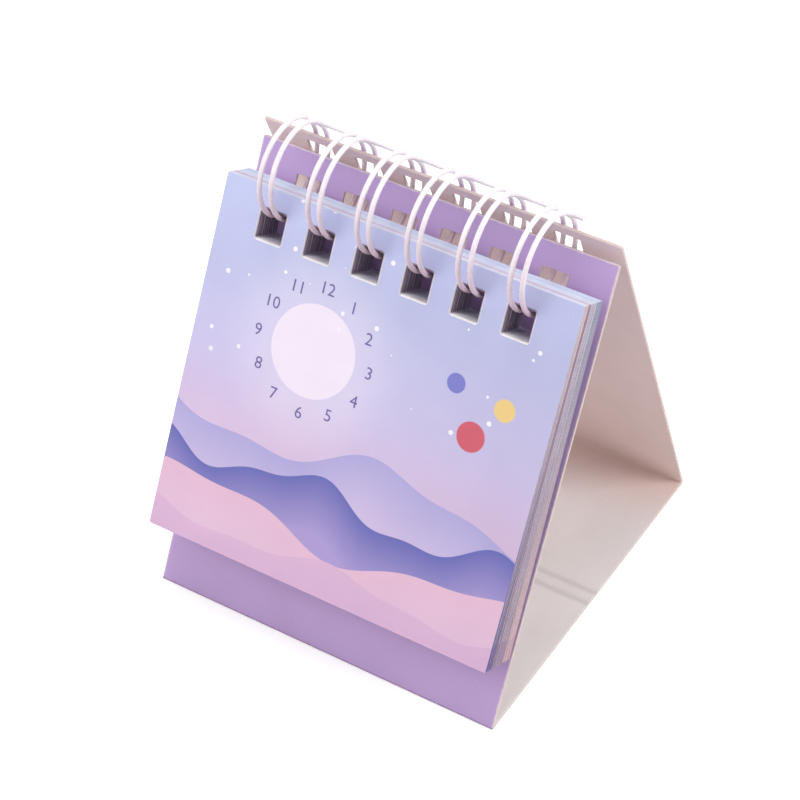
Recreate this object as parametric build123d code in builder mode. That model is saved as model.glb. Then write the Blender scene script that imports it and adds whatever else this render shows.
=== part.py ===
"""Small desk calendar: a folded card easel, a twin-loop binding wire and a stack of loose sheets.

The origin is the middle of the base on the table. +X runs along the binding, +Y to the rear leg, +Z up.
Distances along the front panel are called "along", and distances out of its printed face "out".
"""

import os
from math import asin, atan2, cos, degrees, hypot, pi, radians, sin, sqrt, tan

from build123d import *

# Easel card
easel_width = 61.0
base_depth = 61.6
panel_length = 74.2
card_thickness = 0.5
front_lean_deg = 28.8
fold_clearance = 0.12
rear_hook = 2.18

# Score across the middle of the base
score_spacing = 2.6
score_width = 0.5
score_depth = 0.18

# Punched holes: the strip above them is wider on the front panel than on the sheets, and narrower on the rear
punch_margin = 3.3
punch_height = 4.75
front_punch_margin = 3.9
front_punch_height = 4.15
rear_punch_margin = 1.9
punch_side_room = 0.8
punch_corner = 0.35

# Twin-loop binding wire
loop_pitch = 8.467
loop_edge_room = 4.0
ring_drop = 1.9
cover_lead = 3.05
wire_diameter = 0.8
strand_spacing = 2.0
wire_clearance = 0.12
seam_deg = 40.0
seam_gap = 0.6
wire_stub = 1.2
arcs_per_turn = 4

# Sheets
month_count = 16
sheet_inset = 0.2
sheet_foot_rise = 11.9
sheet_thickness = 0.26
sheet_gap = 0.105
sheet_corner = 0.2
stack_standoff = 2.3
stack_foot_gap = 0.35

# Cuts run past the faces by this much
overrun = 1.0

os.makedirs("parts", exist_ok=True)


def front_point(along, out):
    """Side-view point (y, z) on the front panel's printed face, moved out of it."""
    lean = radians(front_lean_deg)
    y = -base_depth / 2 + along * sin(lean) - out * cos(lean)
    z = along * cos(lean) + out * sin(lean)
    return y, z


def side_plane():
    """Plane of the side view: local x is +Y, local y is +Z, and its normal is +X."""
    return Plane(origin=(0, 0, 0), x_dir=(0, 1, 0), z_dir=(1, 0, 0))


# Ring: it holds the stack, and rests on the lower edges of the front panel's holes
wire_radius = wire_diameter / 2
sheet_pitch = sheet_thickness + sheet_gap
stack_depth = stack_standoff + month_count * sheet_pitch + sheet_thickness
hole_floor_drop = front_punch_margin + front_punch_height - ring_drop
ring_out = stack_depth - cover_lead
ring_radius = hypot(ring_out, hole_floor_drop) - wire_radius - wire_clearance
ring_along = panel_length - ring_drop
ring_y, ring_z = front_point(ring_along, ring_out)

# Rear panel: its outer face starts at the rear fold, its punched strip lies just inside the ring, and the upper
# edges of its holes hang below the level of the ring's axis by rear_hook
rear_fold_y = base_depth / 2
strip_radius = ring_radius - wire_radius - wire_clearance
rear_offset = sqrt(strip_radius**2 - rear_hook**2)
fold_to_ring = hypot(ring_y - rear_fold_y, ring_z)
rear_lean = atan2(rear_fold_y - ring_y, ring_z) - asin(rear_offset / fold_to_ring)
rear_length = sqrt(fold_to_ring**2 - rear_offset**2) - rear_hook + rear_punch_margin

# Holes pass both strands of a loop, and the row fills the width
punch_width = strand_spacing + wire_diameter + 2 * punch_side_room
loop_count = int((easel_width - 2 * loop_edge_room) / loop_pitch)

front_plane = Plane(
    origin=(0, -base_depth / 2, 0),
    x_dir=(1, 0, 0),
    z_dir=(0, -cos(radians(front_lean_deg)), sin(radians(front_lean_deg))),
)
rear_plane = Plane(origin=(0, rear_fold_y, 0), x_dir=(-1, 0, 0), z_dir=(0, cos(rear_lean), sin(rear_lean)))

# Folds are mitred: a panel's inner face meets the base's upper face this far in from the fold
front_mitre = card_thickness / tan((pi / 2 - radians(front_lean_deg)) / 2)
rear_mitre = card_thickness / tan((pi / 2 - rear_lean) / 2)
punch_depth = card_thickness + overrun


def punch_row(plane, length, margin, height):
    """Row of punched holes of a height on a panel's plane, a margin below its upper edge."""
    with BuildSketch(plane) as holes:
        with Locations((0, length - margin - height / 2)):
            with GridLocations(loop_pitch, 0, loop_count, 1):
                RectangleRounded(punch_width, height, punch_corner)
    return holes.sketch


with BuildPart() as front_panel:
    with BuildSketch(side_plane()):
        with BuildLine():
            Polyline(
                front_point(0, 0),
                front_point(panel_length, 0),
                front_point(panel_length, -card_thickness),
                (-base_depth / 2 + front_mitre, card_thickness),
                close=True,
            )
        make_face()
    extrude(amount=easel_width / 2, both=True)
    front_holes = punch_row(front_plane, panel_length, front_punch_margin, front_punch_height)
    extrude(front_holes, amount=punch_depth, both=True, mode=Mode.SUBTRACT)
front_panel.part.label = "front_panel"
export_step(front_panel.part, "parts/front_panel.step")

with BuildPart() as base_panel:
    with BuildSketch(side_plane()):
        with BuildLine():
            Polyline(
                (-base_depth / 2, 0),
                (base_depth / 2 - fold_clearance, 0),
                (base_depth / 2 - rear_mitre - fold_clearance, card_thickness),
                (-base_depth / 2 + front_mitre, card_thickness),
                close=True,
            )
        make_face()
    extrude(amount=easel_width / 2, both=True)
    with BuildSketch(side_plane()):
        for score_y in (-score_spacing / 2, score_spacing / 2):
            with BuildLine():
                Polyline(
                    (score_y - score_width / 2, card_thickness),
                    (score_y, card_thickness - score_depth),
                    (score_y + score_width / 2, card_thickness),
                    close=True,
                )
            make_face()
    extrude(amount=easel_width, both=True, mode=Mode.SUBTRACT)
base_panel.part.label = "base_panel"
export_step(base_panel.part, "parts/base_panel.step")

with BuildPart() as rear_panel:
    rear_top = (rear_fold_y - rear_length * sin(rear_lean), rear_length * cos(rear_lean))
    inner_top = (rear_top[0] - card_thickness * cos(rear_lean), rear_top[1] - card_thickness * sin(rear_lean))
    with BuildSketch(side_plane()):
        with BuildLine():
            Polyline(
                (rear_fold_y, 0),
                rear_top,
                inner_top,
                (rear_fold_y - rear_mitre, card_thickness),
                close=True,
            )
        make_face()
    extrude(amount=easel_width / 2, both=True)
    rear_holes = punch_row(rear_plane, rear_length, rear_punch_margin, punch_height)
    extrude(rear_holes, amount=punch_depth, both=True, mode=Mode.SUBTRACT)
rear_panel.part.label = "rear_panel"
export_step(rear_panel.part, "parts/rear_panel.step")


def ring_point(x, angle, forward=0):
    """Point on the ring at x, moved forward along the tangent, towards growing angles."""
    y = ring_y + ring_radius * cos(angle) - forward * sin(angle)
    z = ring_z + ring_radius * sin(angle) + forward * cos(angle)
    return Vector(x, y, z)


# Each strand starts at the seam behind the rear panel's top edge and runs once round, over the top first
bend_radius = strand_spacing / 2
start_angle = radians(seam_deg) + bend_radius / ring_radius
seam_reach = sqrt((2 * bend_radius + wire_diameter + seam_gap) ** 2 - (2 * bend_radius) ** 2)
end_angle = start_angle + 2 * pi - seam_reach / ring_radius
arc_angle = (end_angle - start_angle) / arcs_per_turn
strand_angles = [start_angle + arc_angle * step for step in range(arcs_per_turn + 1)]
loop_places = [(index - (loop_count - 1) / 2) * loop_pitch for index in range(loop_count)]
half_root = bend_radius * sin(pi / 4)
root_rise = bend_radius - half_root


def root_bend(x, side):
    """Quarter turn from a strand at x into the seam: its first, middle and last point."""
    on_strand = ring_point(x, start_angle)
    middle = ring_point(x + side * root_rise, start_angle, -half_root)
    on_root = ring_point(x + side * bend_radius, start_angle, -bend_radius)
    return on_strand, middle, on_root


def strand(x, angles):
    """Arcs of one strand round the ring, from each of the angles to the next."""
    for first, last in zip(angles, angles[1:]):
        ThreePointArc(ring_point(x, first), ring_point(x, (first + last) / 2), ring_point(x, last))


with BuildPart() as binding_wire:
    with BuildLine() as wire_path:
        for index, place in enumerate(loop_places):
            left = place - bend_radius
            right = place + bend_radius
            left_on, left_middle, left_root = root_bend(left, -1)
            right_on, right_middle, right_root = root_bend(right, 1)
            if index == 0:
                wire_start = left_root - Vector(wire_stub, 0, 0)
                Line(wire_start, left_root)
            ThreePointArc(left_root, left_middle, left_on)
            strand(left, strand_angles)
            ThreePointArc(
                ring_point(left, end_angle),
                ring_point(place, end_angle, bend_radius),
                ring_point(right, end_angle),
            )
            strand(right, strand_angles[::-1])
            ThreePointArc(right_on, right_middle, right_root)
            if index == loop_count - 1:
                Line(right_root, right_root + Vector(wire_stub, 0, 0))
            else:
                Line(right_root, right_root + Vector(loop_pitch - 2 * strand_spacing, 0, 0))
    with BuildSketch(Plane(origin=wire_start, z_dir=(1, 0, 0))):
        Circle(wire_radius)
    sweep()
binding_wire.part.label = "binding_wire"
export_step(binding_wire.part, "parts/binding_wire.step")

# Least gap of the wire to itself, on points a fraction of the wire apart
path_wire = wire_path.wire()
point_count = int(path_wire.length / wire_radius)
path_points = [path_wire.position_at(step / point_count) for step in range(point_count + 1)]
neighbour_count = int(pi * bend_radius / wire_radius)
least_gap = min(
    (point - other).length - wire_diameter
    for index, point in enumerate(path_points)
    for other in path_points[index + neighbour_count :]
)
print(f"binding wire: {path_wire.length:.1f} mm long, least gap to itself {least_gap:.2f} mm")


# The stack is knocked up level, and hangs on the wire by the upper edges of its outermost sheets' holes. The
# rearmost sheet leans on the front panel's foot, and the others stand a little more upright further out
hang_reach = max(cover_lead, ring_out - stack_standoff)
hang_along = ring_along - sqrt(strip_radius**2 - hang_reach**2)
sheet_width = easel_width - 2 * sheet_inset
sheet_height = hang_along + punch_margin - sheet_foot_rise
lean_in_deg = degrees(asin((stack_standoff - stack_foot_gap) / sheet_height))


def sheet_plane(place):
    """Plane of a sheet's front face at the upper edges of its holes; place 0 is the rearmost sheet."""
    out = stack_standoff + place * sheet_pitch + sheet_thickness
    y, z = front_point(hang_along, out)
    lean = radians(front_lean_deg + lean_in_deg * (place / month_count - 1))
    return Plane(origin=(0, y, z), x_dir=(1, 0, 0), z_dir=(0, -cos(lean), sin(lean)))


sheet_names = [f"month_sheet_{month_count - place:02d}" for place in range(month_count)] + ["cover_sheet"]
for place, sheet_name in enumerate(sheet_names):
    with BuildPart() as sheet:
        with BuildSketch(sheet_plane(place)):
            with Locations((0, punch_margin - sheet_height / 2)):
                RectangleRounded(sheet_width, sheet_height, sheet_corner)
            with Locations((0, -punch_height / 2)):
                with GridLocations(loop_pitch, 0, loop_count, 1):
                    RectangleRounded(punch_width, punch_height, punch_corner, mode=Mode.SUBTRACT)
        extrude(amount=-sheet_thickness)
    sheet.part.label = sheet_name
    export_step(sheet.part, f"parts/{sheet_name}.step")

print(f"ring axis: y {ring_y:.4f} z {ring_z:.4f} mm, {ring_out:.3f} mm out of the front panel")
print(f"ring radius {ring_radius:.4f} mm, {loop_count} loops")
print(f"sheets {sheet_width:.2f} by {sheet_height:.2f} mm")
print(f"rear panel: lean {degrees(rear_lean):.3f} degrees, length {rear_length:.3f} mm")
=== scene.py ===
"""Small easel desk calendar: a folded card stand, a twin-loop wire and a stack of printed sheets.

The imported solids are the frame. Sizes are in millimetres, as in the part, until a mesh is made.
"""

from __future__ import annotations

import logging
import math
from collections.abc import Callable, Sequence
from dataclasses import dataclass
from enum import Enum
from functools import partial

import bpy
from mathutils import Matrix, Vector
from mathutils.geometry import delaunay_2d_cdt

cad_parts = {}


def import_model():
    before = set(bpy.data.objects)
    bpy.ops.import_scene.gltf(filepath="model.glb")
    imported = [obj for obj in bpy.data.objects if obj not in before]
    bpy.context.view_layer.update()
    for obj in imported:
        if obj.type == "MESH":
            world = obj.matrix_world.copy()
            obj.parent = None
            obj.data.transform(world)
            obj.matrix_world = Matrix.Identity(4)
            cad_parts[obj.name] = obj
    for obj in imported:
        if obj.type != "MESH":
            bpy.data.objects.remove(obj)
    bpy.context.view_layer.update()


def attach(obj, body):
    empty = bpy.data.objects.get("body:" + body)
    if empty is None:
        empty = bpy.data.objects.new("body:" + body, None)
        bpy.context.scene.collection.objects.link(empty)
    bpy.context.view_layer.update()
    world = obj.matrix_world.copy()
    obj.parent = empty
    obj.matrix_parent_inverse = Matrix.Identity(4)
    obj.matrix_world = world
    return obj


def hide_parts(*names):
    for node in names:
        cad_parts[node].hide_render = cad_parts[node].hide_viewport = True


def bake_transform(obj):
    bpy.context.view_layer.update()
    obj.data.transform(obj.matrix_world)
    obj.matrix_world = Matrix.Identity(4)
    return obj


LOG = logging.getLogger("calendar")
MM = 0.001
FAR = 1000.0  # beyond every edge of the calendar
FOLD_STEPS = 12
SCORE_STEPS = 6
WELD = 1e-7
MONTHS = 12
WEEK = 7

Point = tuple[float, float]
Triple = tuple[float, float, float]
Rgb = tuple[int, int, int]
Shades = tuple[Rgb, Rgb]
Tone = Sequence[float]
ToneAt = Callable[[Point], Tone]
Loop = Sequence[Point]
Socket = bpy.types.NodeSocket
Node = bpy.types.Node
Material = bpy.types.Material
Piece = bpy.types.Object


def srgb(red: int, green: int, blue: int) -> tuple[float, float, float, float]:
    """Turn a colour as seen on screen into the linear one that nodes take.

    Args:
        red: red, 0 to 255.
        green: green, 0 to 255.
        blue: blue, 0 to 255.

    Returns:
        Linear red, green, blue and an alpha of 1.
    """
    levels = [value / 255 for value in (red, green, blue)]
    linear = [level / 12.92 if level <= 0.04045 else ((level + 0.055) / 1.055) ** 2.4 for level in levels]
    return (linear[0], linear[1], linear[2], 1.0)


def between(first: Tone, second: Tone, share: float) -> Tone:
    """Mix two tones by the share of the second."""
    return tuple(low + (high - low) * share for low, high in zip(first, second))


def show(name: str, data: bpy.types.ID) -> Piece:
    """Make an object of a mesh, a camera or a lamp, and link it to the scene.

    Args:
        name: the object's name.
        data: what it shows.

    Returns:
        The object.
    """
    made = bpy.data.objects.new(name, data)
    bpy.context.scene.collection.objects.link(made)
    return made


class Part(Enum):
    """Faces of a leaf of card or paper, in the order of its material slots."""

    FRONT = 0
    BACK = 1
    EDGE = 2
    INK = 3


class EdgeTint(Enum):
    """Colours of a sheet's cut edges: the top edge, lightened as painted light from above, then the upper and
    lower ends of the sides, blended along the rise.
    """

    # The first colour of each band is painted light: lighter than the sides, standing for light falling on
    # the top edges.
    CREAM = (srgb(230, 237, 254), srgb(216, 204, 202), srgb(100, 92, 150))
    BLUSH = (srgb(230, 212, 232), srgb(160, 131, 149), srgb(140, 122, 152))
    CHALK = (srgb(224, 236, 254), srgb(197, 195, 206), srgb(165, 143, 163))
    MIST = (srgb(216, 230, 252), srgb(159, 167, 184), srgb(216, 180, 182))


class Bench:
    """Places and joins nodes in one tree."""

    def __init__(self, tree: bpy.types.NodeTree) -> None:
        """Start work on the tree of a material, a world or a group."""
        self.tree = tree

    def add(self, kind: str, **settings: object) -> Node:
        """Place a node and set its properties.

        Args:
            kind: the node's type without the ShaderNode prefix.
            settings: properties of the node.

        Returns:
            The new node.
        """
        node = self.tree.nodes.new("ShaderNode" + kind)
        for name, value in settings.items():
            setattr(node, name, value)
        return node

    def put(self, socket: Socket, value: object) -> None:
        """Feed a socket.

        Args:
            socket: the socket.
            value: another socket that feeds it, or its own value.
        """
        if isinstance(value, Socket):
            self.tree.links.new(value, socket)
        else:
            socket.default_value = value

    def math(self, operation: str, *values: object, clamp: bool = False) -> Socket:
        """Place a Math node.

        Args:
            operation: the node's operation.
            values: its inputs, each a socket or a number.
            clamp: whether the result stays between 0 and 1.

        Returns:
            The result's socket.
        """
        node = self.add("Math", operation=operation, use_clamp=clamp)
        for socket, value in zip(node.inputs, values):
            self.put(socket, value)
        return node.outputs[0]

    def blend(self, factor: object, first: object, second: object, mode: str = "MIX") -> Socket:
        """Mix two colours.

        Args:
            factor: share of the second colour.
            first: the colour at 0.
            second: the colour at 1.
            mode: how the colours combine.

        Returns:
            The mixed colour's socket.
        """
        node = self.add("Mix", data_type="RGBA", blend_type=mode)
        for index, value in ((0, factor), (6, first), (7, second)):
            self.put(node.inputs[index], value)
        return node.outputs[2]

    def ease(self, value: object, low: object, high: object, start: float = 0.0, end: float = 1.0) -> Socket:
        """Ramp a value smoothly between two limits.

        Args:
            value: what is ramped.
            low: where the ramp starts.
            high: where it ends.
            start: the result up to low.
            end: the result from high on.

        Returns:
            The result's socket.
        """
        node = self.add("MapRange", interpolation_type="SMOOTHSTEP")
        for socket, entry in zip(node.inputs, (value, low, high, start, end)):
            self.put(socket, entry)
        return node.outputs[0]

    def ramp(self, factor: Socket, stops: Sequence[tuple[float, Rgb]]) -> Socket:
        """Place a colour ramp.

        Args:
            factor: the place on the ramp.
            stops: places and colours, in rising order.

        Returns:
            The colour's socket.
        """
        node = self.add("ValToRGB")
        elements = node.color_ramp.elements
        while len(elements) < len(stops):
            elements.new(1.0)
        for element, (place, colour) in zip(elements, stops):
            element.position = place
            element.color = srgb(*colour)
        self.put(node.inputs[0], factor)
        return node.outputs[0]

    def noise(self, place: Socket, scale: object, detail: float, roughness: float = 0.5) -> Socket:
        """Place a noise texture.

        Args:
            place: the coordinates.
            scale: its scale.
            detail: its octaves.
            roughness: weight of the finer octaves.

        Returns:
            The noise value's socket.
        """
        node = self.add("TexNoise")
        values = {"Vector": place, "Scale": scale, "Detail": detail, "Roughness": roughness}
        for name, value in values.items():
            self.put(node.inputs[name], value)
        return node.outputs[0]

    def group(self, tree: bpy.types.NodeTree, **values: object) -> bpy.types.NodeOutputs:
        """Place a node group.

        Args:
            tree: the group.
            values: its inputs by name, with _ for a space.

        Returns:
            The group's outputs.
        """
        node = self.add("Group", node_tree=tree)
        for name, value in values.items():
            self.put(node.inputs[name.replace("_", " ")], value)
        return node.outputs

    def split(self, vector: Socket) -> bpy.types.NodeOutputs:
        """Part a vector into its three values.

        Args:
            vector: the vector.

        Returns:
            The values' sockets.
        """
        node = self.add("SeparateXYZ")
        self.put(node.inputs[0], vector)
        return node.outputs

    def page(self) -> Socket:
        """Give the millimetre coordinates of a leaf's print."""
        return self.add("Attribute", attribute_name="page").outputs["Vector"]

    def tint(self, name: str) -> Socket:
        """Give a colour that the points of a leaf carry."""
        return self.add("Attribute", attribute_name=name).outputs["Color"]

    def place(self) -> Socket:
        """Give the coordinates of the piece in the calendar's frame."""
        return self.add("TexCoord").outputs["Object"]


class GroupBench(Bench):
    """Places and joins the nodes of a new node group."""

    def __init__(self, name: str, inputs: dict[str, float | None], outputs: Sequence[str]) -> None:
        """Start a group.

        Args:
            name: the group's name.
            inputs: names of the inputs with their first values, None for a vector.
            outputs: names of the outputs, each a value.
        """
        super().__init__(bpy.data.node_groups.new(name, "ShaderNodeTree"))
        make = self.tree.interface.new_socket
        for label, value in inputs.items():
            kind = "NodeSocketVector" if value is None else "NodeSocketFloat"
            socket = make(label, in_out="INPUT", socket_type=kind)
            if value is not None:
                socket.default_value = value
        for label in outputs:
            make(label, in_out="OUTPUT", socket_type="NodeSocketFloat")
        self.given = self.tree.nodes.new("NodeGroupInput").outputs
        self.result = self.tree.nodes.new("NodeGroupOutput").inputs


class MaterialBench(Bench):
    """Places and joins the nodes of a new material with one Principled shader."""

    def __init__(self, name: str) -> None:
        """Start a material.

        Args:
            name: the material's name.
        """
        self.material = bpy.data.materials.new(name)
        self.material.use_nodes = True
        self.material.node_tree.nodes.clear()
        super().__init__(self.material.node_tree)
        self.shader = self.add("BsdfPrincipled")
        self.surface = self.add("OutputMaterial").inputs["Surface"]
        self.put(self.surface, self.shader.outputs[0])


class Effects:
    """Shader effects that several finishes share, each a node group that is built once."""

    def __init__(self) -> None:
        """Build the groups."""
        self.grain = self._paper_grain()
        self.rub = self._edge_rub()
        self.disc = self._print_disc()
        self.ridge = self._print_ridge()

    @staticmethod
    def _paper_grain() -> bpy.types.NodeTree:
        """Paper: cloudy tone, short fibres, and the faint laid lines of a textured stock.

        Returns:
            The group.
        """
        inputs = {"Place": None, "Fibre": 5200.0, "Mottle": 130.0, "Laid": 0.0}
        bench = GroupBench("paper_grain", inputs, ("Tone", "Height"))
        place = bench.given["Place"]
        fibres = bench.noise(place, bench.given["Fibre"], 3.0, 0.6)
        clouds = bench.noise(place, bench.given["Mottle"], 4.0, 0.55)
        tone = bench.math("MULTIPLY_ADD", fibres, 0.35, bench.math("MULTIPLY", clouds, 0.65))
        lines = bench.add("TexWave", wave_type="BANDS", bands_direction="DIAGONAL", wave_profile="SIN")
        for name, value in (("Vector", place), ("Scale", 700.0), ("Distortion", 1.2)):
            bench.put(lines.inputs[name], value)
        laid = bench.math("MULTIPLY", lines.outputs["Fac"], bench.given["Laid"])
        bench.put(bench.result["Tone"], tone)
        bench.put(bench.result["Height"], bench.math("ADD", fibres, laid))
        return bench.tree

    @staticmethod
    def _edge_rub() -> bpy.types.NodeTree:
        """Mask along the sides and ends of a panel, broken up by noise, for wear at cut edges and painted
        shade at folds.

        Returns:
            The group.
        """
        inputs = {"Page": None, "Half Width": 30.0, "Low": 0.0, "High": 60.0, "Reach": 0.6}
        bench = GroupBench("edge_rub", inputs, ("Mask",))
        page, reach = bench.given["Page"], bench.given["Reach"]
        side, rise, _ = bench.split(page)
        side = bench.math("SUBTRACT", bench.given["Half Width"], bench.math("ABSOLUTE", side))
        low, high = (
            bench.math("ABSOLUTE", bench.math("SUBTRACT", rise, bench.given[end])) for end in ("Low", "High")
        )
        nearest = bench.math("MINIMUM", side, bench.math("MINIMUM", low, high))
        ragged = bench.math("MULTIPLY", bench.noise(page, 0.9, 4.0, 0.7), reach)
        bench.put(bench.result["Mask"], bench.ease(nearest, 0.0, ragged, 1.0, 0.0))
        return bench.tree

    @staticmethod
    def _print_disc() -> bpy.types.NodeTree:
        """Round spot of print.

        Returns:
            The group.
        """
        inputs = {"Page": None, "Centre": None, "Radius": 5.0, "Soft": 0.15}
        bench = GroupBench("print_disc", inputs, ("Mask",))
        offset = bench.add("VectorMath", operation="DISTANCE")
        bench.put(offset.inputs[0], bench.given["Page"])
        bench.put(offset.inputs[1], bench.given["Centre"])
        radius, soft = bench.given["Radius"], bench.given["Soft"]
        inner, outer = (bench.math(operation, radius, soft) for operation in ("SUBTRACT", "ADD"))
        bench.put(bench.result["Mask"], bench.ease(offset.outputs["Value"], inner, outer, 1.0, 0.0))
        return bench.tree

    @staticmethod
    def _print_ridge() -> bpy.types.NodeTree:
        """Rolling hill that fills the print below its crest.

        Returns:
            The group.
        """
        inputs = {"Page": None, "Level": 10.0, "Swell": 2.0, "Wave": 40.0, "Phase": 0.0, "Fade": 10.0}
        bench = GroupBench("print_ridge", inputs, ("Mask", "Depth"))
        phase = bench.given["Phase"]
        side, rise, _ = bench.split(bench.given["Page"])
        turn = bench.math("DIVIDE", bench.math("MULTIPLY", side, math.tau), bench.given["Wave"])
        slow = bench.math("SINE", bench.math("ADD", turn, phase))
        quick = bench.math("SINE", bench.math("MULTIPLY_ADD", turn, 2.3, phase))
        swell = bench.math("MULTIPLY", bench.math("MULTIPLY_ADD", quick, 0.35, slow), bench.given["Swell"])
        below = bench.math("SUBTRACT", bench.math("ADD", bench.given["Level"], swell), rise)
        bench.put(bench.result["Mask"], bench.ease(below, -0.08, 0.08))
        bench.put(bench.result["Depth"], bench.math("DIVIDE", below, bench.given["Fade"], clamp=True))
        return bench.tree


@dataclass(frozen=True, kw_only=True)
class Finish:
    """Finish with a fine grain in two shades, which also sets its gloss and its relief."""

    name: str
    fibre: float
    mottle: float
    laid: float = 0.0
    shades: Shades
    shade_ends: Point = (0.3, 0.7)
    roughness: Point
    specular: float = 0.5
    relief: Point | None = None  # strength, and depth in millimetres

    def material(self, effects: Effects) -> Material:
        """Build the finish.

        Args:
            effects: the shared groups.

        Returns:
            The material.
        """
        bench = MaterialBench(self.name)
        grain = bench.group(
            effects.grain, Place=bench.place(), Fibre=self.fibre, Mottle=self.mottle, Laid=self.laid
        )
        inputs = bench.shader.inputs
        bench.put(inputs["Base Color"], self.colour(bench, effects, grain["Tone"]))
        bench.put(inputs["Roughness"], bench.ease(grain["Tone"], 0.3, 0.7, *self.roughness))
        inputs["Specular IOR Level"].default_value = self.specular
        if self.relief:
            strength, depth = self.relief
            bump = bench.add("Bump")
            bump.inputs["Strength"].default_value = strength
            bump.inputs["Distance"].default_value = depth * MM
            bench.put(bump.inputs["Height"], grain["Height"])
            bench.put(inputs["Normal"], bump.outputs["Normal"])
        return bench.material

    def shade(self, bench: Bench, tone: Socket) -> Socket:
        """Give the two shades of the grain."""
        return bench.ramp(tone, list(zip(self.shade_ends, self.shades)))

    def colour(self, bench: Bench, effects: Effects, tone: Socket) -> Socket:
        """Mix the colour, which is the grain's own unless a finish adds to it.

        Args:
            bench: the material's bench.
            effects: the shared groups.
            tone: the grain.

        Returns:
            The colour's socket.
        """
        return self.shade(bench, tone)


@dataclass(frozen=True, kw_only=True)
class CardPrint(Finish):
    """Matte print on the outside of the easel card, rubbed pale along its cut edges, with painted shade
    darkening its folds.
    """

    half_width: float
    top: float
    folds: Point = (0.0, 0.0)
    fibre: float = 4200.0
    mottle: float = 75.0
    shades: Shades = ((182, 154, 202), (192, 164, 213))
    shade_ends: Point = (0.32, 0.68)
    roughness: Point = (0.46, 0.6)
    specular: float = 0.42
    relief: Point | None = (0.18, 0.03)
    rubbed: Rgb = (228, 214, 226)
    rub_reach: float = 0.7
    # Painted shade in the folds.
    creased: Rgb = (132, 98, 142)
    crease_reach: float = 0.9

    def colour(self, bench: Bench, effects: Effects, tone: Socket) -> Socket:
        """Wear the print pale along its edges, and paint shade dark into its folds.

        Args:
            bench: the material's bench.
            effects: the shared groups.
            tone: the grain.

        Returns:
            The colour's socket.
        """
        colour = self.shade(bench, tone)
        page = bench.page()
        for half, (low, high), reach, wear_and_painted_shade in (
            (self.half_width, (self.top, self.top), self.rub_reach, self.rubbed),
            # Painted shade darkens the folds.
            (FAR, self.folds, self.crease_reach, self.creased),
        ):
            wear_and_shade_mask = bench.group(effects.rub, Page=page, Half_Width=half, Low=low, High=high, Reach=reach)
            colour = bench.blend(wear_and_shade_mask["Mask"], colour, srgb(*wear_and_painted_shade))
        return colour


@dataclass(frozen=True, kw_only=True)
class BareCard(Finish):
    """Uncoated inside of the easel card, with fibre flecks, darkened by the painted shade that the panel
    carries.
    """

    name: str = "bare_card"
    fibre: float = 3600.0
    mottle: float = 60.0
    shades: Shades = ((231, 226, 225), (244, 240, 239))
    roughness: Point = (0.72, 0.86)
    specular: float = 0.3
    relief: Point | None = (0.3, 0.04)
    fleck: Rgb = (196, 176, 170)
    fleck_scale: Triple = (900.0, 2600.0, 2600.0)
    fleck_strength: float = 0.15

    def colour(self, bench: Bench, effects: Effects, tone: Socket) -> Socket:
        """Fleck the card and darken it by its painted shade.

        Args:
            bench: the material's bench.
            effects: the shared groups.
            tone: the grain.

        Returns:
            The colour's socket.
        """
        stretch = bench.add("Mapping")
        bench.put(stretch.inputs["Vector"], bench.place())
        stretch.inputs["Scale"].default_value = self.fleck_scale
        flecks = bench.ease(bench.noise(stretch.outputs[0], 1.0, 1.0), 0.7, 0.78)
        share = bench.math("MULTIPLY", flecks, self.fleck_strength)
        colour = bench.blend(share, self.shade(bench, tone), srgb(*self.fleck))
        # Multiplies in the painted shade carried by the card colour.
        return bench.blend(1.0, colour, bench.tint("card"), "MULTIPLY")


@dataclass(frozen=True, kw_only=True)
class CutEdge(Finish):
    """Cut edge of card or paper: fibrous, in the tint that the leaf carries."""

    name: str = "cut_edge"
    fibre: float = 9000.0
    mottle: float = 420.0
    shades: Shades = ((206, 198, 204), (255, 255, 255))
    roughness: Point = (0.75, 0.92)
    specular: float = 0.2
    relief: Point | None = (0.4, 0.03)

    def colour(self, bench: Bench, effects: Effects, tone: Socket) -> Socket:
        """Shade the leaf's tint.

        Args:
            bench: the material's bench.
            effects: the shared groups.
            tone: the grain.

        Returns:
            The colour's socket.
        """
        dark, light = (srgb(*shade) for shade in self.shades)
        return bench.blend(1.0, bench.blend(tone, dark, light), bench.tint("tint"), "MULTIPLY")


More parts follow.
